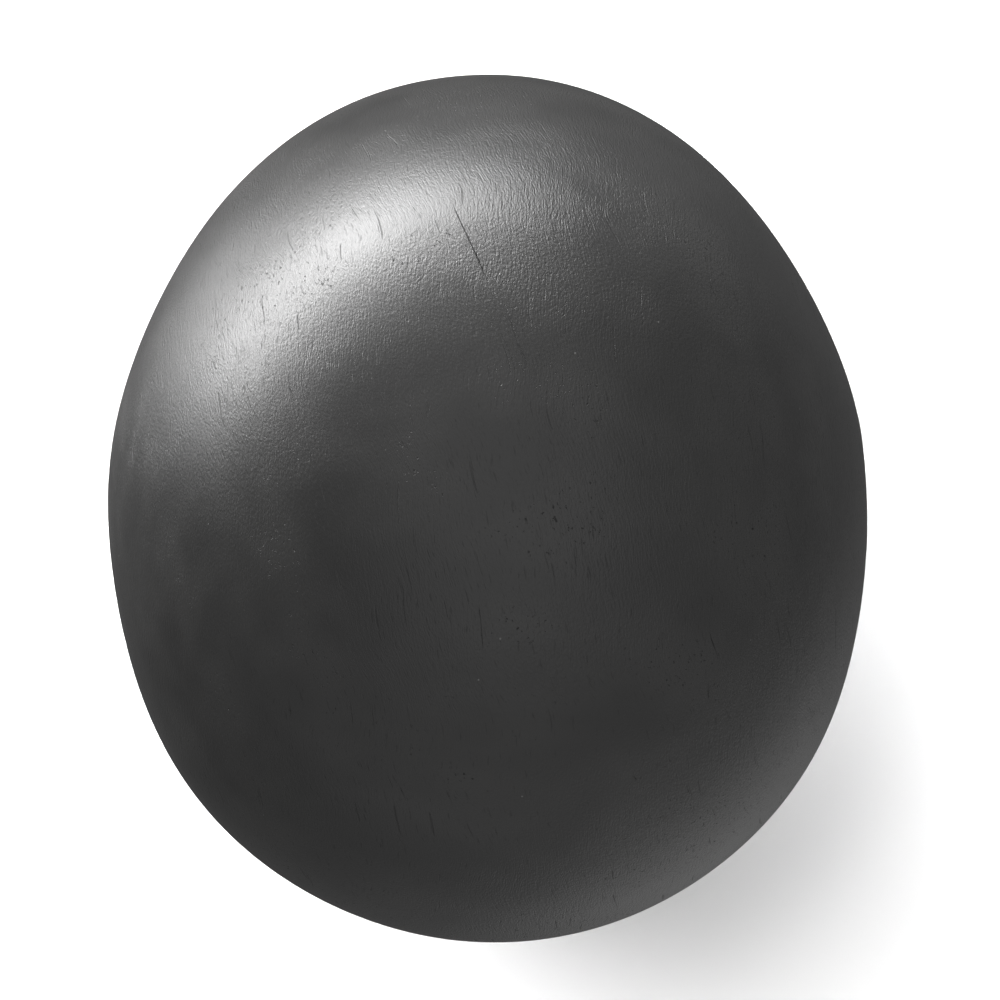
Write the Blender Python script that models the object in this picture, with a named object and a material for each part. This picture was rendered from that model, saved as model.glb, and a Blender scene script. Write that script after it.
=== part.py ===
"""A traditional lawn bowl: a turned wooden bowl with a pinned brass disc let into each flank.

Metres, +Z up. The bowl stands on its running sole, the widest circle of its turning, and the
lowest point of that circle is the origin. The bowl was turned about a line along X, at the height
of its own radius. +X is the plain side, which is a little flatter, and -X is the bias side.
"""

import math

import bmesh
import bpy
from mathutils import Vector

# ---- Driving dimensions, metres ----
BOWL_RADIUS = 0.0635  # to the running sole: a 5 inch bowl
PLAIN_HALF_WIDTH = 0.0548  # from the sole's plane to where the plain flank would close
BIAS_HALF_WIDTH = 0.0562  # and the bias flank, which is the fuller one
ROUNDNESS = 2.03  # exponent of the turned curve, where 2 is a true ellipse
FLANK_DRIFT = 0.0040  # sets how far the flanks have moved off the turning line, towards -Y

LARGE_MOUNT_RADIUS = 0.0125
SMALL_MOUNT_RADIUS = 0.0100
MOUNT_THICKNESS = 0.0025
MOUNT_CHAMFER = 0.0003
RING_DEPTH = 0.00035  # the ring turned into each disc's face
RING_WIDTH = 0.0010
PIN_INSET = 0.0032  # from a disc's edge to its pins
RING_INSET = 0.0051  # from a disc's edge to the turned ring
LARGE_MOUNT_PINS = 4
SMALL_MOUNT_PINS = 3
PIN_LENGTH = 0.0090
PIN_SHANK_RADIUS = 0.0007
PIN_HEAD_RADIUS = 0.0014
PIN_POINT = 0.0014  # length of the tapered tip
GAP = 0.0003  # between pieces that touch

# ---- Facets ----
BODY_SEGMENTS = 72
PROFILE_STEPS = 17  # rings on each flank
MOUNT_SEGMENTS = 48
PIN_SEGMENTS = 12
SMOOTH_ANGLE = math.radians(30)

AXIS_POINT = Vector((0, 0, BOWL_RADIUS))


def clear_scene():
    for old in list(bpy.data.objects):
        bpy.data.objects.remove(old, do_unlink=True)


def finish(name, colour, roughness, metallic):
    """A plain material: base colour, roughness and metallic value."""
    material = bpy.data.materials.new(name)
    material.use_nodes = True
    shader = material.node_tree.nodes["Principled BSDF"]
    shader.inputs["Base Color"].default_value = (*colour, 1)
    shader.inputs["Roughness"].default_value = roughness
    shader.inputs["Metallic"].default_value = metallic
    material.diffuse_color = (*colour, 1)
    return material


def turned(bm, outline, segments, centre):
    """Spin (x, radius) points a full turn about the line along X through centre."""
    points = [bm.verts.new(centre + Vector((x, 0, radius))) for x, radius in outline]
    edges = [bm.edges.new(pair) for pair in zip(points, points[1:])]
    bmesh.ops.spin(
        bm,
        geom=points + edges,
        cent=centre,
        axis=(1, 0, 0),
        angle=math.tau,
        steps=segments,
        use_merge=True,
    )


def solid(name, bm, material=None):
    """Close the turned shape on its axis, face it outwards and make it an object."""
    bmesh.ops.remove_doubles(bm, verts=bm.verts, dist=1e-6)
    bmesh.ops.recalc_face_normals(bm, faces=bm.faces)
    mesh = bpy.data.meshes.new(name)
    bm.to_mesh(mesh)
    bm.free()
    mesh.shade_smooth()
    mesh.set_sharp_from_angle(angle=SMOOTH_ANGLE)
    if material:
        mesh.materials.append(material)
    piece = bpy.data.objects.new(name, mesh)
    bpy.context.scene.collection.objects.link(piece)
    return piece


def cut(piece, cutter):
    boolean = piece.modifiers.new(cutter.name, "BOOLEAN")
    boolean.operation = "DIFFERENCE"
    boolean.solver = "EXACT"
    boolean.object = cutter


def flank_x(radius, half_width):
    """How far out from the sole's plane a flank has a given radius."""
    return half_width * (1 - (radius / BOWL_RADIUS) ** ROUNDNESS) ** (1 / ROUNDNESS)


def flank_radius(x, half_width):
    return BOWL_RADIUS * (1 - (x / half_width) ** ROUNDNESS) ** (1 / ROUNDNESS)


def flank_drift(x, rim_x):
    """How far a flank has moved at x: nothing on the sole or at the disc's rim."""
    share = x / rim_x
    return FLANK_DRIFT * share**3 * (1 - share**12)


class Flank:
    """One side of the bowl. side is +1 for the plain side and -1 for the bias side."""

    def __init__(self, mount_name, side, half_width, mount_radius, pin_count):
        self.mount_name = mount_name
        self.side = side
        self.half_width = half_width
        self.mount_radius = mount_radius
        self.pocket_radius = mount_radius + GAP
        self.rim_x = flank_x(self.pocket_radius, half_width)
        self.pin_count = pin_count

    def outline(self):
        """Points from just beside the sole out to the pocket's rim, then in to its floor."""
        turns = [step / PROFILE_STEPS * math.pi / 2 for step in range(1, PROFILE_STEPS)]
        curve = [self.rim_x * math.sin(turn) for turn in turns]
        points = [(x, flank_radius(x, self.half_width)) for x in curve]
        floor_x = self.rim_x - MOUNT_THICKNESS - GAP
        points += [(self.rim_x, self.pocket_radius), (floor_x, self.pocket_radius), (floor_x, 0)]
        return [(self.side * x, radius) for x, radius in points]

    def face_point(self, depth, radius, turn=0.0):
        """A point at a depth below the disc's face, at a radius and a turn about the axis."""
        x = self.side * (self.rim_x - depth)
        return AXIS_POINT + Vector((x, radius * math.sin(turn), radius * math.cos(turn)))

    def inwards(self, steps):
        """(depth, radius) steps as (x, radius) points about the disc's face."""
        return [(-self.side * depth, radius) for depth, radius in steps]

    def pin_places(self):
        """Where the pins' heads are centred, spaced evenly round the disc."""
        radius = self.mount_radius - PIN_INSET
        turns = [math.tau * (n + 0.5) / self.pin_count for n in range(self.pin_count)]
        return [self.face_point(0, radius, turn) for turn in turns]


def bowl_body(flanks, material):
    plain, bias = flanks
    outline = list(reversed(bias.outline())) + [(0, BOWL_RADIUS)] + plain.outline()
    bm = bmesh.new()
    turned(bm, outline, BODY_SEGMENTS, AXIS_POINT)
    for vert in bm.verts:
        flank = plain if vert.co.x > 0 else bias
        from_axis = (vert.co - AXIS_POINT).yz.length
        if from_axis > flank.pocket_radius + GAP:
            vert.co.y -= flank_drift(abs(vert.co.x), flank.rim_x)
    return solid("body", bm, material)


def mount_disc(flank, material):
    """A disc with chamfered edges and one ring turned into its face."""
    edge = flank.mount_radius
    ring = edge - RING_INSET
    slope = RING_DEPTH
    steps = [
        (0, 0),
        (0, ring - RING_WIDTH),
        (RING_DEPTH, ring - RING_WIDTH + slope),
        (RING_DEPTH, ring - slope),
        (0, ring),
        (0, edge - MOUNT_CHAMFER),
        (MOUNT_CHAMFER, edge),
        (MOUNT_THICKNESS - MOUNT_CHAMFER, edge),
        (MOUNT_THICKNESS, edge - MOUNT_CHAMFER),
        (MOUNT_THICKNESS, 0),
    ]
    bm = bmesh.new()
    turned(bm, flank.inwards(steps), MOUNT_SEGMENTS, flank.face_point(0, 0))
    return solid(flank.mount_name, bm, material)


def pin(flank, number, place, material):
    """A countersunk pin with a flat head, flush with the disc, and a tapered tip."""
    head_depth = PIN_HEAD_RADIUS - PIN_SHANK_RADIUS
    steps = [
        (0, 0),
        (0, PIN_HEAD_RADIUS),
        (head_depth, PIN_SHANK_RADIUS),
        (PIN_LENGTH - PIN_POINT, PIN_SHANK_RADIUS),
        (PIN_LENGTH, 0),
    ]
    bm = bmesh.new()
    turned(bm, flank.inwards(steps), PIN_SEGMENTS, place)
    return solid(f"{flank.mount_name}_pin_{number}", bm, material)


def pin_holes(flank):
    """Countersunk holes, a gap wider than the pins, as one cutter for the disc and the body."""
    head_depth = PIN_HEAD_RADIUS - PIN_SHANK_RADIUS
    steps = [
        (-PIN_HEAD_RADIUS, 0),
        (-PIN_HEAD_RADIUS, PIN_HEAD_RADIUS + GAP),
        (0, PIN_HEAD_RADIUS + GAP),
        (head_depth, PIN_SHANK_RADIUS + GAP),
        (PIN_LENGTH + GAP, PIN_SHANK_RADIUS + GAP),
        (PIN_LENGTH + GAP, 0),
    ]
    bm = bmesh.new()
    for place in flank.pin_places():
        turned(bm, flank.inwards(steps), PIN_SEGMENTS, place)
    holes = solid(f"{flank.mount_name}_pin_holes", bm)
    holes.hide_render = True
    holes.display_type = "WIRE"
    return holes


def build():
    clear_scene()
    blackened_wood = finish("blackened wood", (0.035, 0.034, 0.033), 0.42, 0.0)
    brass = finish("aged brass", (0.52, 0.38, 0.17), 0.36, 1.0)
    flanks = (
        Flank("large_mount", 1, PLAIN_HALF_WIDTH, LARGE_MOUNT_RADIUS, LARGE_MOUNT_PINS),
        Flank("small_mount", -1, BIAS_HALF_WIDTH, SMALL_MOUNT_RADIUS, SMALL_MOUNT_PINS),
    )
    bowl = bowl_body(flanks, blackened_wood)
    for flank in flanks:
        disc = mount_disc(flank, brass)
        holes = pin_holes(flank)
        cut(bowl, holes)
        cut(disc, holes)
        for number, place in enumerate(flank.pin_places(), start=1):
            pin(flank, number, place, brass)


build()
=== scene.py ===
# %% [markdown]
# # A blackened wooden lawn bowl
#
# A lawn bowl is turned from one block of very dense wood. It is a little wider across its
# running sole, the circle that it rolls on, than along the line it was turned on, and one flank
# is a touch fuller than the other, which makes it curve on the green. A brass disc is let into
# each flank and held by small pins.
#
# The solids that the physics uses are loaded first. Every visible piece is measured from them,
# so no piece is placed by eye. The box round them is kept, and printed beside the visible
# pieces' box at the end.

# %% Load the frame
import math

import bmesh
import bpy
from mathutils import Matrix, Vector, noise


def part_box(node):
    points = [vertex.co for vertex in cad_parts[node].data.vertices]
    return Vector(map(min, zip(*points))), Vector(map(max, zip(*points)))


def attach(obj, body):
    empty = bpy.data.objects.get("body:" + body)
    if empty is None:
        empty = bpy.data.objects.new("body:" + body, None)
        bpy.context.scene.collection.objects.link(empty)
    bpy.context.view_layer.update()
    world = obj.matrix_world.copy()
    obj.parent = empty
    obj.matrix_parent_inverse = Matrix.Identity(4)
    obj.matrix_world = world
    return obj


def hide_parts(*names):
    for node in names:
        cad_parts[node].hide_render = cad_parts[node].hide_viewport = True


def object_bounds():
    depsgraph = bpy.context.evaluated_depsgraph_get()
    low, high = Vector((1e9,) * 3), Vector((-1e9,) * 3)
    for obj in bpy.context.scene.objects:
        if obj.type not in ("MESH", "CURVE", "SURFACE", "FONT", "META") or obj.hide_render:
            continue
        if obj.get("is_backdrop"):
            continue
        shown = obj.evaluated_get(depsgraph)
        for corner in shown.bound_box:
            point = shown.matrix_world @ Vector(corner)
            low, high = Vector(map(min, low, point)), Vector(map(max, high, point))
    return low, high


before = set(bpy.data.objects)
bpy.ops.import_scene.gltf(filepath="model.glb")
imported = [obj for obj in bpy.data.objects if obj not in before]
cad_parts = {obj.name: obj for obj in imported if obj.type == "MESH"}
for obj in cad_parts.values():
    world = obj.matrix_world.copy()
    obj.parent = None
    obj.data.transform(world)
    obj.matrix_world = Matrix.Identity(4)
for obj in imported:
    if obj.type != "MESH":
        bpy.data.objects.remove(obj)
cad_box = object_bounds()
print("nodes:", ", ".join(sorted(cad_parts)))

# %% [markdown]
# ## Reading the sizes
#
# The wood's lowest and highest corners give its radius at the sole and how far out each flank
# reaches, and each disc's box gives its radius. Three numbers can't be read off a box, so they
# repeat the solid's own: the exponent of the turned curve, where 2 is a true ellipse, how far
# the flanks have crept off the turning line as the wood aged, and the gap round each disc.

# %% Sizes, in metres
MM = 0.001
ROUNDNESS = 2.03
FLANK_DRIFT = 4.0 * MM
POCKET_GAP = 0.3 * MM

wood_low, wood_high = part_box("body")
sole_radius = (wood_high.z - wood_low.z) / 2
axis_point = Vector((0, 0, wood_low.z + sole_radius))
print(f"radius at the sole {sole_radius / MM:.2f} mm")


class Flank:
    """One side of the bowl: side is +1 for the plain flank and -1 for the bias flank."""

    def __init__(self, name, side, pin_count):
        self.name = name
        self.side = side
        self.pin_count = pin_count
        disc_low, disc_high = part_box(name)
        self.disc_radius = (disc_high.z - disc_low.z) / 2
        self.disc_thickness = disc_high.x - disc_low.x
        self.rim_x = wood_high.x if side > 0 else -wood_low.x
        self.rim_radius = self.disc_radius + POCKET_GAP
        share = 1 - (self.rim_radius / sole_radius) ** ROUNDNESS
        self.half_width = self.rim_x / share ** (1 / ROUNDNESS)

    def radius_at(self, x):
        return sole_radius * (1 - (x / self.half_width) ** ROUNDNESS) ** (1 / ROUNDNESS)

    def drift_at(self, x):
        share = min(x / self.rim_x, 1)
        return FLANK_DRIFT * share**3 * (1 - share**12)

    def face_point(self, radius=0.0, turn=0.0):
        """A point in the plane of the disc's face."""
        across = Vector((0, math.sin(turn), math.cos(turn))) * radius
        return axis_point + Vector((self.side * self.rim_x, 0, 0)) + across

    def inwards(self, steps):
        """(depth below the face, radius) steps as (x, radius) points."""
        return [(-self.side * depth, radius) for depth, radius in steps]


plain = Flank("large_mount", 1, 4)
bias = Flank("small_mount", -1, 3)
for flank in (plain, bias):
    print(f"{flank.name}: face at {flank.rim_x / MM:.2f} mm, radius {flank.disc_radius / MM:.2f} mm")

# %% [markdown]
# ## Turning
#
# Every piece of a bowl comes off a lathe, so every shape here is an outline spun round the
# line along X. Spin merges its first and last copies, and a merge by distance closes the
# points that lie on the axis.

# %% A lathe


def lathe(name, cuts, segments):
    """Spin each (outline, centre) of (x, radius) points, and make one mesh object of them."""
    bm = bmesh.new()
    for outline, centre in cuts:
        points = [bm.verts.new(centre + Vector((x, 0, radius))) for x, radius in outline]
        edges = [bm.edges.new(pair) for pair in zip(points, points[1:])]
        bmesh.ops.spin(
            bm,
            geom=points + edges,
            cent=centre,
            axis=(1, 0, 0),
            angle=math.tau,
            steps=segments,
            use_merge=True,
        )
    bmesh.ops.remove_doubles(bm, verts=bm.verts, dist=1e-7)
    bmesh.ops.recalc_face_normals(bm, faces=bm.faces)
    mesh = bpy.data.meshes.new(name)
    bm.to_mesh(mesh)
    bm.free()
    mesh.shade_smooth()
    piece = bpy.data.objects.new(name, mesh)
    bpy.context.scene.collection.objects.link(piece)
    return piece


def soften(piece, angle=35):
    """Keep corners sharper than angle crisp, and shade the rest as one smooth surface."""
    piece.data.set_sharp_from_angle(angle=math.radians(angle))


# %% [markdown]
# ## The wood
#
# Each half of the outline is a superellipse from the sole out to the rim of the disc's
# pocket. Points are spaced by angle, which packs them where the curve is tight. The pocket's
# edge is eased by a small arc, as a turner would leave it, and the pocket fits the disc more
# closely than the physics solid does.
#
# A turned surface is never perfectly even, so each vertex is pressed in by up to a few
# hundredths of a millimetre with slow noise, which makes reflections waver a little. It only
# goes inwards, so the bowl never outgrows the solid.

# %% The bowl's outline
PROFILE_STEPS = 110
BODY_SEGMENTS = 264
POCKET_FIT = 0.08 * MM
EASED_EDGE = 0.35 * MM
EASE_STEPS = 5


def flank_outline(flank):
    turns = [step / PROFILE_STEPS * math.pi / 2 for step in range(1, PROFILE_STEPS)]
    curve = [flank.rim_x * math.sin(turn) for turn in turns]
    points = [(x, flank.radius_at(x)) for x in curve]
    pocket = flank.disc_radius + POCKET_FIT
    points = [(x, radius) for x, radius in points if radius > pocket + 2 * EASED_EDGE]
    for step in range(EASE_STEPS + 1):
        turn = step / EASE_STEPS * math.pi / 2
        x = flank.rim_x - EASED_EDGE * (1 - math.cos(turn))
        points.append((x, pocket + EASED_EDGE * (1 - math.sin(turn))))
    floor_x = flank.rim_x - flank.disc_thickness - POCKET_GAP
    points += [(floor_x, pocket), (floor_x, 0)]
    return [(flank.side * x, radius) for x, radius in points]


# %% [markdown]
# The wood could be one sphere that is squashed and cut, but turning its outline gives both
# flanks, the eased edges and the pockets in one piece, as the lathe does. Afterwards each vertex
# outside the pockets is pressed in a little and moved off the turning line.

# %% Turn the bowl
UNEVEN_DEPTH = 0.05 * MM
UNEVEN_SIZE = 14 * MM

outline = list(reversed(flank_outline(bias))) + [(0, sole_radius)] + flank_outline(plain)
bowl = lathe("turned_wood", [(outline, axis_point)], BODY_SEGMENTS)
for vert in bowl.data.vertices:
    flank = plain if vert.co.x > 0 else bias
    out = vert.co - axis_point
    if out.yz.length > flank.rim_radius:
        wave = (noise.noise(out / UNEVEN_SIZE) + 1) / 2
        vert.co -= out.normalized() * UNEVEN_DEPTH * wave
        vert.co.y -= flank.drift_at(abs(out.x))
soften(bowl)
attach(bowl, "root")
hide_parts("body")
print(f"the bowl has {len(bowl.data.polygons)} faces")

# %% [markdown]
# ## Discs and pins
#
# A disc is a slice of brass with rings turned into its face: a deep one inside the pins, and
# three hair lines nearer the middle. Its edge is rounded over. The pins are countersunk and
# were filed nearly flush, so their heads are very slightly domed. One cutter drills
# the disc and the wood together, a hair wider than the pins.

# %% Sizes of the brass
DISC_SEGMENTS = 161  # odd, so that no line of the mesh runs through the middle of a pin
EDGE_ROUND = 0.3 * MM
RING_INSET = 5.1 * MM
RING_WIDTH = 1.0 * MM
RING_DEPTH = 0.35 * MM
HAIR_LINES = 3
HAIR_LINE_SPACING = 0.9 * MM
HAIR_LINE_DEPTH = 0.12 * MM
HAIR_LINE_STEPS = 4
RING_STEPS = 8
EDGE_STEPS = 5

PIN_SEGMENTS = 40
PIN_INSET = 3.2 * MM
PIN_LENGTH = 9.0 * MM
PIN_POINT = 1.4 * MM
HEAD_RADIUS = 1.4 * MM
SHANK_RADIUS = 0.7 * MM
HEAD_DROP = 0.12 * MM
DOME_STEPS = 4
DRILL_GAP = 0.05 * MM
DRILL_START = -1 * MM  # the cutter starts outside the face

# %% [markdown]
# A disc's outline is a list of steps from the middle of its face out to its edge and back
# along its underside. Each groove is half a circle's worth of points, and so is cut by the same
# spin that makes the disc.

# %% A disc with its turned rings


def groove(middle, half_width, depth, steps):
    """A round-bottomed groove in a face, as (depth, radius) steps from its inner edge out."""
    turns = [step / steps * math.pi for step in range(steps + 1)]
    return [(depth * math.sin(turn), middle - half_width * math.cos(turn)) for turn in turns]


def disc_steps(flank):
    edge = flank.disc_radius
    ring = edge - RING_INSET - RING_WIDTH / 2
    steps = [(0, 0)]
    for line in range(HAIR_LINES, 0, -1):
        middle = ring - RING_WIDTH - line * HAIR_LINE_SPACING
        steps += groove(middle, HAIR_LINE_DEPTH, HAIR_LINE_DEPTH, HAIR_LINE_STEPS)
    steps += groove(ring, RING_WIDTH / 2, RING_DEPTH, RING_STEPS)
    for step in range(EDGE_STEPS + 1):
        turn = step / EDGE_STEPS * math.pi / 2
        steps.append((EDGE_ROUND * (1 - math.cos(turn)), edge - EDGE_ROUND * (1 - math.sin(turn))))
    back = flank.disc_thickness
    return steps + [(back - EDGE_ROUND, edge), (back, edge - EDGE_ROUND), (back, 0)]


def pin_places(flank):
    turns = [math.tau * (n + 0.5) / flank.pin_count for n in range(flank.pin_count)]
    return [flank.face_point(flank.disc_radius - PIN_INSET, turn) for turn in turns]


# %% [markdown]
# A pin could stop at the disc's face, since its shank is hidden, but it goes through into the
# wood, as the real one has to. The holes are cut with a Boolean, whose cutter isn't rendered.

# %% Pins, and the drill that makes their holes


def pin_steps():
    shares = range(DOME_STEPS + 1)
    dome = [(HEAD_DROP * (step / DOME_STEPS) ** 2, HEAD_RADIUS * step / DOME_STEPS) for step in shares]
    head_depth = HEAD_RADIUS - SHANK_RADIUS
    shank = [
        (HEAD_DROP + head_depth, SHANK_RADIUS),
        (PIN_LENGTH - PIN_POINT, SHANK_RADIUS),
        (PIN_LENGTH, 0),
    ]
    return dome + shank


def drill_steps():
    hole = SHANK_RADIUS + DRILL_GAP
    mouth = HEAD_RADIUS + DRILL_GAP
    sink = HEAD_DROP + HEAD_RADIUS - SHANK_RADIUS
    end = PIN_LENGTH + DRILL_GAP
    wall = [(HEAD_DROP, mouth), (sink, hole), (end, hole)]
    return [(DRILL_START, 0), (DRILL_START, mouth)] + wall + [(end, 0)]


def mark_hollows(piece, flank):
    """Store how far below the disc's face each vertex lies, 1 at the bottom of the deep ring."""
    hollows = piece.data.attributes.new("hollow", "FLOAT", "POINT")
    for vert, hollow in zip(piece.data.vertices, hollows.data):
        hollow.value = min((flank.rim_x - abs(vert.co.x)) / RING_DEPTH, 1)


def drill(piece, holes):
    cut = piece.modifiers.new("drilled", "BOOLEAN")
    cut.operation = "DIFFERENCE"
    cut.solver = "EXACT"
    cut.object = holes


discs, pins = [], []
for flank in (plain, bias):
    disc_cut = (flank.inwards(disc_steps(flank)), flank.face_point())
    disc = lathe(f"{flank.name}_disc", [disc_cut], DISC_SEGMENTS)
    soften(disc)
    mark_hollows(disc, flank)
    places = pin_places(flank)
    hole_cuts = [(flank.inwards(drill_steps()), place) for place in places]
    holes = lathe(f"{flank.name}_drill", hole_cuts, PIN_SEGMENTS)
    holes.hide_render = True
    holes.display_type = "WIRE"
    drill(disc, holes)
    drill(bowl, holes)
    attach(disc, "root")
    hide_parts(flank.name)
    discs.append(disc)
    for number, place in enumerate(places, start=1):
        pin_cut = (flank.inwards(pin_steps()), place)
        pin = lathe(f"{flank.name}_brass_pin_{number}", [pin_cut], PIN_SEGMENTS)
        soften(pin)
        mark_hollows(pin, flank)
        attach(pin, "root")
        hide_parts(f"{flank.name}_pin_{number}")
        pins.append(pin)
print(f"{len(discs)} discs and {len(pins)} pins")

# %% [markdown]
# ## Writing shader maths as Python
#
# A finish is a graph of nodes. Signal wraps one output socket and overloads the arithmetic
# operators, so that a sum reads as a sum and adds its own Math node. The reflected forms let a
# plain number stand first, as in 1 - mask. Every other node comes from Nodes.node, which sets a
# node's settings first and then feeds its sockets with values or signals.

# %% Signals and nodes


class Signal:
    """A value that varies over a surface."""

    def __init__(self, nodes, socket):
        self.nodes = nodes
        self.socket = socket

    def math(self, operation, first, second=None):
        feeds = {0: first} if second is None else {0: first, 1: second}
        return self.nodes.node("ShaderNodeMath", {"operation": operation}, feeds)

    def __add__(self, other):
        return self.math("ADD", self, other)

    def __radd__(self, other):
        return self.math("ADD", other, self)

    def __sub__(self, other):
        return self.math("SUBTRACT", self, other)

    def __rsub__(self, other):
        return self.math("SUBTRACT", other, self)

    def __mul__(self, other):
        return self.math("MULTIPLY", self, other)

    def __rmul__(self, other):
        return self.math("MULTIPLY", other, self)

    def __truediv__(self, other):
        return self.math("DIVIDE", self, other)

    def size(self):
        return self.math("ABSOLUTE", self)

    def root(self):
        return self.math("SQRT", self)

    def angle_from(self, other):
        return self.math("ARCTAN2", self, other)


class Nodes:
    """The nodes of one material or of the world."""

    def __init__(self, tree):
        self.tree = tree

    def node(self, kind, settings=None, feeds=None, output=0):
        made = self.tree.nodes.new(kind)
        for key, value in (settings or {}).items():
            setattr(made, key, value)
        for key, value in (feeds or {}).items():
            self.feed(made.inputs[key], value)
        return Signal(self, made.outputs[output])

    def feed(self, socket, value):
        if isinstance(value, Signal):
            self.tree.links.new(value.socket, socket)
        else:
            socket.default_value = value

    def vector(self, x, y, z):
        return self.node("ShaderNodeCombineXYZ", feeds={0: x, 1: y, 2: z})

    def noise(self, vector, detail=2.0, roughness=0.5):
        feeds = {"Vector": vector, "Scale": 1.0, "Detail": detail, "Roughness": roughness}
        return self.node("ShaderNodeTexNoise", feeds=feeds)

    def fade(self, value, start, end):
        """0 where value is at start, 1 where it is at end, and a smooth step between."""
        settings = {"interpolation_type": "SMOOTHSTEP"}
        feeds = {"Value": value, "From Min": start, "From Max": end}
        return self.node("ShaderNodeMapRange", settings, feeds)

    def blend(self, share, first, second):
        """A colour between two."""
        feeds = {"Factor": share, 6: first, 7: second}
        return self.node("ShaderNodeMix", {"data_type": "RGBA"}, feeds, output=2)


def finish(name):
    material = bpy.data.materials.new(name)
    material.use_nodes = True
    return material, Nodes(material.node_tree), material.node_tree.nodes["Principled BSDF"]


# %% [markdown]
# ## Blackened wood
#
# Under a blackened finish the wood still shows its grain, as relief and not as
# colour. Its vessels were cut along their length and left short, fine lines that run round the
# bowl. So the pattern's coordinates are in millimetres along the outline, which is the latitude
# times the radius, and in millimetres across the axis. Stretching noise ten times further round
# than along makes lines, and the slow bend added to the latitude makes them wander.

# %% Coordinates that follow the turning
OBJECT_PLACE = 3  # outputs of the Texture Coordinate node
GENERATED_PLACE = 0


def place_in_mm(nodes):
    """Millimetres to the side, back and up from the middle, and across from the turning line."""
    place = nodes.node("ShaderNodeTexCoord", output=OBJECT_PLACE)
    x, y, z = (nodes.node("ShaderNodeSeparateXYZ", feeds={0: place}, output=n) for n in range(3))
    side = x / MM
    back = y / MM
    up = (z - axis_point.z) / MM
    return side, back, up, (back * back + up * up).root()


wood, nodes, shader = finish("blackened wood")
side_mm, back_mm, up_mm, across_mm = place_in_mm(nodes)
along_mm = side_mm.angle_from(across_mm) * (sole_radius / MM)


def stretched(along, width, length):
    """Noise coordinates for marks of a width along the outline and a length round it."""
    return nodes.vector(along / width, back_mm / length, up_mm / length)


GRAIN_LEAN = 0.16  # the block's grain wasn't quite square to the turning line
BEND = 7.0  # how far the grain wanders slowly and quickly, in millimetres
TREMBLE = 0.9
bend = (nodes.noise(stretched(along_mm, 22, 16), 1.0) - 0.5) * BEND
tremble = (nodes.noise(stretched(along_mm + 60, 6, 6), 1.0) - 0.5) * TREMBLE
grain_mm = along_mm + back_mm * GRAIN_LEAN + bend + tremble
print("the grain's coordinates use", len(wood.node_tree.nodes), "nodes")

# %% [markdown]
# Each mark is one noise, read at its own width and length in millimetres. The number that is
# added to the first coordinate moves it to a fresh part of the noise, so that no two marks
# repeat each other. A fade keeps only the peaks or the hollows, which leaves separate marks.

# %% Grain, pores, pits and scratches
fibre = nodes.noise(stretched(grain_mm, 0.26, 2.6), 2.0, 0.6)
fleck = nodes.noise(stretched(grain_mm + 30, 0.21, 0.50), 1.0)
grit = nodes.noise(stretched(along_mm + 250, 0.30, 0.36), 1.0)
pore = nodes.fade(nodes.noise(stretched(grain_mm + 90, 0.30, 2.4), 1.0), 0.38, 0.24)
hairline = nodes.fade(nodes.noise(stretched(grain_mm + 150, 0.50, 11.0), 1.0), 0.72, 0.77)
patch = nodes.noise(stretched(along_mm + 200, 17, 13), 2.0)
pit_noise = nodes.noise(stretched(grain_mm + 300, 0.42, 0.62), 2.0, 0.6)
pit = nodes.fade(pit_noise, 0.63, 0.71) * nodes.fade(patch, 0.48, 0.62)
dust_place = stretched(along_mm + 40, 6.5, 6.5)
dust_spots = nodes.node("ShaderNodeTexVoronoi", feeds={"Vector": dust_place, "Scale": 1.0})
dust = nodes.fade(dust_spots, 0.026, 0.014)

# %% [markdown]
# One drying crack runs with the grain for about 11 mm, along the sole. It is the distance from
# a leaning line, faded to a hair's width and faded out at both ends and on the underside.

# %% A drying crack
CRACK_ALONG = 0.66  # where it is at CRACK_BACK, both in millimetres
CRACK_BACK = 30
CRACK_LEAN = 0.37
CRACK_END = 41
from_crack = along_mm + (back_mm - CRACK_BACK) * CRACK_LEAN - CRACK_ALONG + tremble * 0.4
crack_starts = nodes.fade(back_mm, CRACK_BACK - 1.5, CRACK_BACK + 1)
crack_stops = nodes.fade(back_mm, CRACK_END, CRACK_END - 3)
crack_length = crack_starts * crack_stops
crack = nodes.fade(from_crack.size(), 0.16, 0.04) * crack_length * nodes.fade(up_mm, 0, 10)

# %% [markdown]
# All the marks are a few hundredths of a millimetre deep, far too fine for the mesh, so a bump
# draws them. The grain stands out more in some patches, and more towards the plain flank.

# %% Relief
FIBRE_RELIEF = 0.066 * MM
shows = 0.75 + 0.4 * nodes.fade(patch, 0.3, 0.6) + 0.9 * nodes.fade(side_mm, -14, 24)
grain = (fibre * 0.65 + fleck * 0.55 + grit * 0.3) * shows
height = grain - pore * 0.25 - hairline * 0.5 - pit * 0.6 - crack * 0.7 + dust * 0.4
bump = {"Strength": 1.0, "Distance": FIBRE_RELIEF, "Height": height}
relief = nodes.node("ShaderNodeBump", feeds=bump)
nodes.feed(shader.inputs["Normal"], relief)

# %% [markdown]
# The blackening is thinnest on the eased edges beside the discs, where the brown wood shows.
# The pits, pores, crack and hairlines get painted shade: a near-black colour with a metallic
# value. A hole isn't metal, but a metallic value over a black colour takes away its gloss as
# well as its colour, so each mark looks like a small shaded hole.

# %% Colour and sheen
RUBBED_DEPTH = 0.35  # how far below the disc's face the brown shows, in millimetres
DEEP_BLACK = (0.0125, 0.0124, 0.0123, 1)
SOFT_BLACK = (0.0200, 0.0198, 0.0195, 1)
RUBBED_BROWN = (0.050, 0.033, 0.022, 1)
DUST_GREY = (0.09, 0.09, 0.088, 1)
# near-black painted shade for the pits, pores, crack and hairlines
HOLE_SHADE_BLACK = (0.002, 0.002, 0.002, 1)
FINISH_IOR = 1.5

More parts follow.
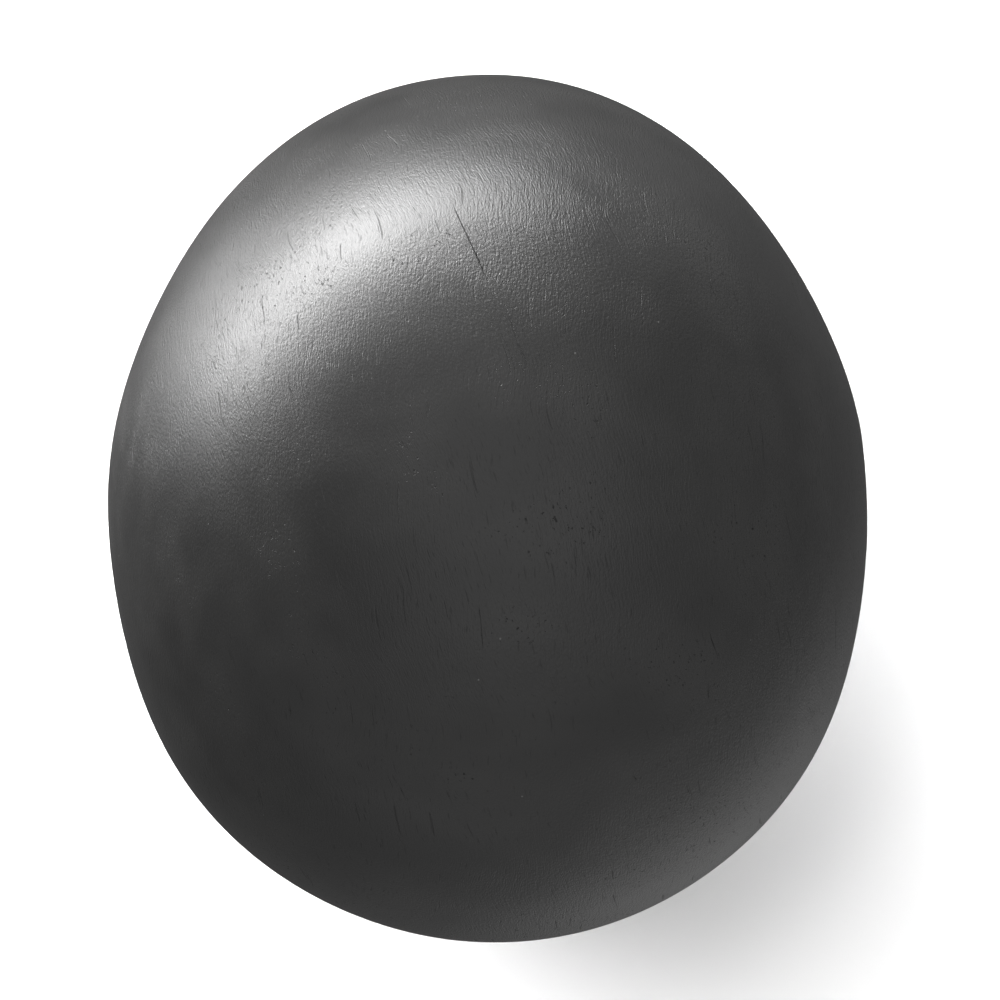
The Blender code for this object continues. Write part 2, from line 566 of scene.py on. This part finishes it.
plain_edge = nodes.fade(side_mm, plain.rim_x / MM - RUBBED_DEPTH, plain.rim_x / MM)
bias_edge = nodes.fade(side_mm * -1, bias.rim_x / MM - RUBBED_DEPTH, bias.rim_x / MM)
rubbed = (plain_edge + bias_edge) * nodes.fade(fleck, 0.35, 0.65)
black = nodes.blend(nodes.fade(patch, 0.3, 0.7), DEEP_BLACK, SOFT_BLACK)
worn = nodes.blend(rubbed * 0.8, black, RUBBED_BROWN)
dusty = nodes.blend(dust, worn, DUST_GREY)
# hole: painted shade in the pits, pores, crack and hairlines, black and without gloss
hole = nodes.fade(pit * 0.45 + pore * 0.25 + crack * 0.6 + hairline * 0.25, 0, 1.0)
nodes.feed(shader.inputs["Base Color"], nodes.blend(hole, dusty, HOLE_SHADE_BLACK))
nodes.feed(shader.inputs["Metallic"], hole)
satin = 0.345 + 0.05 * patch + 0.03 * fibre + 0.07 * pore + 0.12 * hairline + 0.2 * pit
nodes.feed(shader.inputs["Roughness"], satin)
shader.inputs["IOR"].default_value = FINISH_IOR
bowl.data.materials.append(wood)
print(wood.name, "has", len(wood.node_tree.nodes), "nodes")

# %% [markdown]
# ## Aged brass
#
# The face came off the lathe with fine rings, which the bump draws as noise that depends
# only on the distance from the axis. Handling has left it brown in clouds, and small scratches
# cross it. The rings and the rounded edges are painted black, darker the further below the face
# that the stored hollow value finds them: painted shade, with clouds of grime mixed in. Neither
# tarnish nor this grime and shade is metal, so both lower the metallic value as well as the colour.

# %% Aged brass
brass, nodes, shader = finish("aged brass")
side_mm, back_mm, up_mm, across_mm = place_in_mm(nodes)
turned_lines = nodes.noise(nodes.vector(across_mm / 0.11, side_mm / 4, 0), 2.0)
cloud = nodes.noise(nodes.vector(side_mm / 3, back_mm / 3, up_mm / 3), 4.0, 0.6)
slanted = back_mm * 0.8 + up_mm * 0.6
scratch_place = nodes.vector(slanted / 0.10, (up_mm - back_mm) / 6, side_mm)
scratch = nodes.fade(nodes.noise(scratch_place, 1.0), 0.72, 0.78)
hollow = nodes.node("ShaderNodeAttribute", {"attribute_name": "hollow"}, output=2)
tarnish = nodes.fade(cloud + hollow * 0.35, 0.44, 0.80)
# painted shade, darker the deeper a point lies below the disc's face, mixed with clouds of grime
grime_and_shade = nodes.fade(cloud * 0.5 + hollow, 0.45, 1.0)

BRIGHT_BRASS = (0.60, 0.43, 0.19, 1)
BROWN_TARNISH = (0.30, 0.185, 0.075, 1)
# black for the painted shade in the rings and edges, and for the grime
BLACK_GRIME_AND_SHADE = (0.022, 0.017, 0.012, 1)
aged = nodes.blend(tarnish, BRIGHT_BRASS, BROWN_TARNISH)
nodes.feed(shader.inputs["Base Color"], nodes.blend(grime_and_shade, aged, BLACK_GRIME_AND_SHADE))
nodes.feed(shader.inputs["Metallic"], (1.0 - 0.3 * tarnish) * (1.0 - 0.9 * grime_and_shade))
nodes.feed(shader.inputs["Roughness"], 0.28 + 0.16 * tarnish + 0.2 * grime_and_shade + 0.06 * turned_lines)
BRASS_RELIEF = 0.012 * MM
cuts = turned_lines * 0.5 - scratch * 0.8 + cloud * 0.4
bump = {"Strength": 1.0, "Distance": BRASS_RELIEF, "Height": cuts}
relief = nodes.node("ShaderNodeBump", feeds=bump)
nodes.feed(shader.inputs["Normal"], relief)
for piece in discs + pins:
    piece.data.materials.append(brass)
print("finishes:", wood.name, "and", brass.name)

# %% [markdown]
# ## The floor
#
# The bowl lies on white paper. A satin black surface mirrors everything near it, and paper
# would draw a bright ring round its edge. So the paper is seen by the camera and takes the
# bowl's shadow, but it doesn't light the bowl: the room's gradient, further down, does that.

# %% White paper
FLOOR_HALF = 3.0
PAPER_WHITE = (0.82, 0.82, 0.82, 1)
bm = bmesh.new()
bmesh.ops.create_grid(bm, x_segments=1, y_segments=1, size=FLOOR_HALF)
floor_mesh = bpy.data.meshes.new("floor")
bm.to_mesh(floor_mesh)
bm.free()
floor = bpy.data.objects.new("floor", floor_mesh)
bpy.context.scene.collection.objects.link(floor)
floor.location.z = wood_low.z
floor.visible_glossy = False
floor.visible_diffuse = False
floor.visible_shadow = False
floor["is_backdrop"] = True
paper, nodes, shader = finish("white paper")
shader.inputs["Base Color"].default_value = PAPER_WHITE
shader.inputs["Roughness"].default_value = 1.0
floor.data.materials.append(paper)
print("the paper is at", round(floor.location.z / MM, 3), "mm")

# %% [markdown]
# ## The camera
#
# It looks straight down on the running sole from close by, so the rims of the flanks hide the
# flat discs. It is rolled a little, which tips the turning line up to the right.

# %% Camera
CAMERA_DISTANCE = 0.450
VIEW_WIDTH = 147.7 * MM  # what the view spans at the height of the turning line
ROLL = math.radians(-2.62)
AIM = Vector((1.08 * MM, 1.23 * MM, 0))  # the view's centre, right of the bowl's and above it

camera_data = bpy.data.cameras.new("camera")
camera_data.sensor_width = 36
camera_data.lens = camera_data.sensor_width * CAMERA_DISTANCE / VIEW_WIDTH
camera_data.clip_start = 0.01
camera = bpy.data.objects.new("camera", camera_data)
bpy.context.scene.collection.objects.link(camera)
camera.location = axis_point + Matrix.Rotation(ROLL, 3, "Z") @ AIM + Vector((0, 0, CAMERA_DISTANCE))
camera.rotation_euler = (0, 0, ROLL)
bpy.context.scene.camera = camera
print(f"lens {camera_data.lens:.1f} mm")

# %% [markdown]
# ## Light
#
# One long, low strip light curves round the far left of the bowl, and its reflection is
# the broad bright band. It is built from flat panels that sink towards its left end and are
# strongest in the middle. A softbox high above lights only the paper, and gives the soft shadow.

# %% The strip light
STRIP_DISTANCE = 0.8
STRIP_STEP = 12  # degrees between panels
STRIP_TALL = math.radians(12)
STRIP = [  # turn from +X, height above the bowl's middle, both in degrees, and light on the bowl
    (78, 8.0, 0.25),
    (90, 8.0, 1.15),
    (102, 8.0, 1.45),
    (114, 7.0, 2.10),
    (126, 5.0, 2.20),
    (138, 2.0, 1.70),
    (150, -2.0, 1.70),
    (162, -6.0, 0.25),
]


def direction_to(turn, height):
    """The direction that is turned from +X and raised by these two angles, in degrees."""
    turn = math.radians(turn)
    height = math.radians(height)
    level = math.cos(height)
    return Vector((math.cos(turn) * level, math.sin(turn) * level, math.sin(height)))


def area_light(name, turn, height, distance, width, tall, light_on_bowl):
    """A panel that faces the bowl. light_on_bowl is the irradiance that it gives there."""
    data = bpy.data.lights.new(name, "AREA")
    data.shape = "RECTANGLE"
    data.size = width
    data.size_y = tall
    data.energy = light_on_bowl * math.pi * distance**2
    panel = bpy.data.objects.new(name, data)
    bpy.context.scene.collection.objects.link(panel)
    towards = direction_to(turn, height)
    panel.location = axis_point + towards * distance
    panel.rotation_euler = towards.to_track_quat("Z", "Y").to_euler()
    panel.visible_camera = False
    return panel


panel_width = STRIP_DISTANCE * math.radians(STRIP_STEP)
panel_tall = STRIP_DISTANCE * STRIP_TALL
for number, (turn, height, light) in enumerate(STRIP, start=1):
    area_light(f"strip_{number}", turn, height, STRIP_DISTANCE, panel_width, panel_tall, light)

# The strip is repeated below its left end, weaker and twice as wide and tall, because white
# paper rose behind the bowl there.
BELOW = (147, -25, 0.80)
turn, height, light = BELOW
area_light("strip_below", turn, height, STRIP_DISTANCE, 2 * panel_width, 2 * panel_tall, light)
print(len(STRIP) + 1, "panels, each", round(panel_width * 1000), "mm wide or twice that")

# %% [markdown]
# The softbox could light everything, but then its reflection would lie on top of the bowl,
# where the object shows none. So it is linked to the paper alone.

# %% The softbox over the paper
SOFTBOX = (141, 63, 3.8)
SOFTBOX_DISTANCE = 0.9
SOFTBOX_SIDE = 0.5
turn, height, light = SOFTBOX
overhead = area_light("overhead", turn, height, SOFTBOX_DISTANCE, SOFTBOX_SIDE, SOFTBOX_SIDE, light)
paper_only = bpy.data.collections.new("paper only")
paper_only.objects.link(floor)
overhead.light_linking.receiver_collection = paper_only

# %% [markdown]
# ## The room
#
# What is left of the tone comes from the room: pale above the horizon and darker below it, with
# a few broad glows where pale things stood round the bowl, and one dark part, whose strength is
# below zero. Each is a smooth cap round a direction, found from the dot product of the two.

# %% The room's gradient
SKY = 0.50
GROUND = 0.13
GLOWS = [  # turn from +X, height, half width, all in degrees, and strength
    (0, 90, 60, 0.58),  # straight overhead
    (150, 25, 65, -0.46),  # a dark part of the room, above the strip light
    (308, -38, 36, 0.53),
    (265, -15, 50, 0.14),
    (10, -30, 40, 0.12),
    (60, -20, 35, 0.52),
]
world = bpy.data.worlds.new("room")
world.use_nodes = True
bpy.context.scene.world = world
nodes = Nodes(world.node_tree)
direction = nodes.node("ShaderNodeTexCoord", output=GENERATED_PLACE)
upward = nodes.node("ShaderNodeSeparateXYZ", feeds={0: direction}, output=2)
light = GROUND + (SKY - GROUND) * nodes.fade(upward, -0.25, 0.0)
for turn, height, half_width, strength in GLOWS:
    both = {0: direction, 1: direction_to(turn, height)}
    facing = nodes.node("ShaderNodeVectorMath", {"operation": "DOT_PRODUCT"}, both, output=1)
    light = light + strength * nodes.fade(facing, math.cos(math.radians(half_width)), 1.0)
nodes.feed(world.node_tree.nodes["Background"].inputs["Strength"], light)
world.node_tree.nodes["Background"].inputs["Color"].default_value = (1, 1, 1, 1)
bpy.context.scene.view_settings.view_transform = "Standard"
print("the room has", len(world.node_tree.nodes), "nodes")

# %% [markdown]
# ## The two boxes
#
# The visible pieces must fill the same box as the solids that they stand for. Both boxes are
# printed.

# %% Finish
visual_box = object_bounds()
boxes = {"cad": [list(corner) for corner in cad_box], "visual": [list(corner) for corner in visual_box]}
for low_high in boxes.values():
    print([[round(value / MM, 2) for value in corner] for corner in low_high])
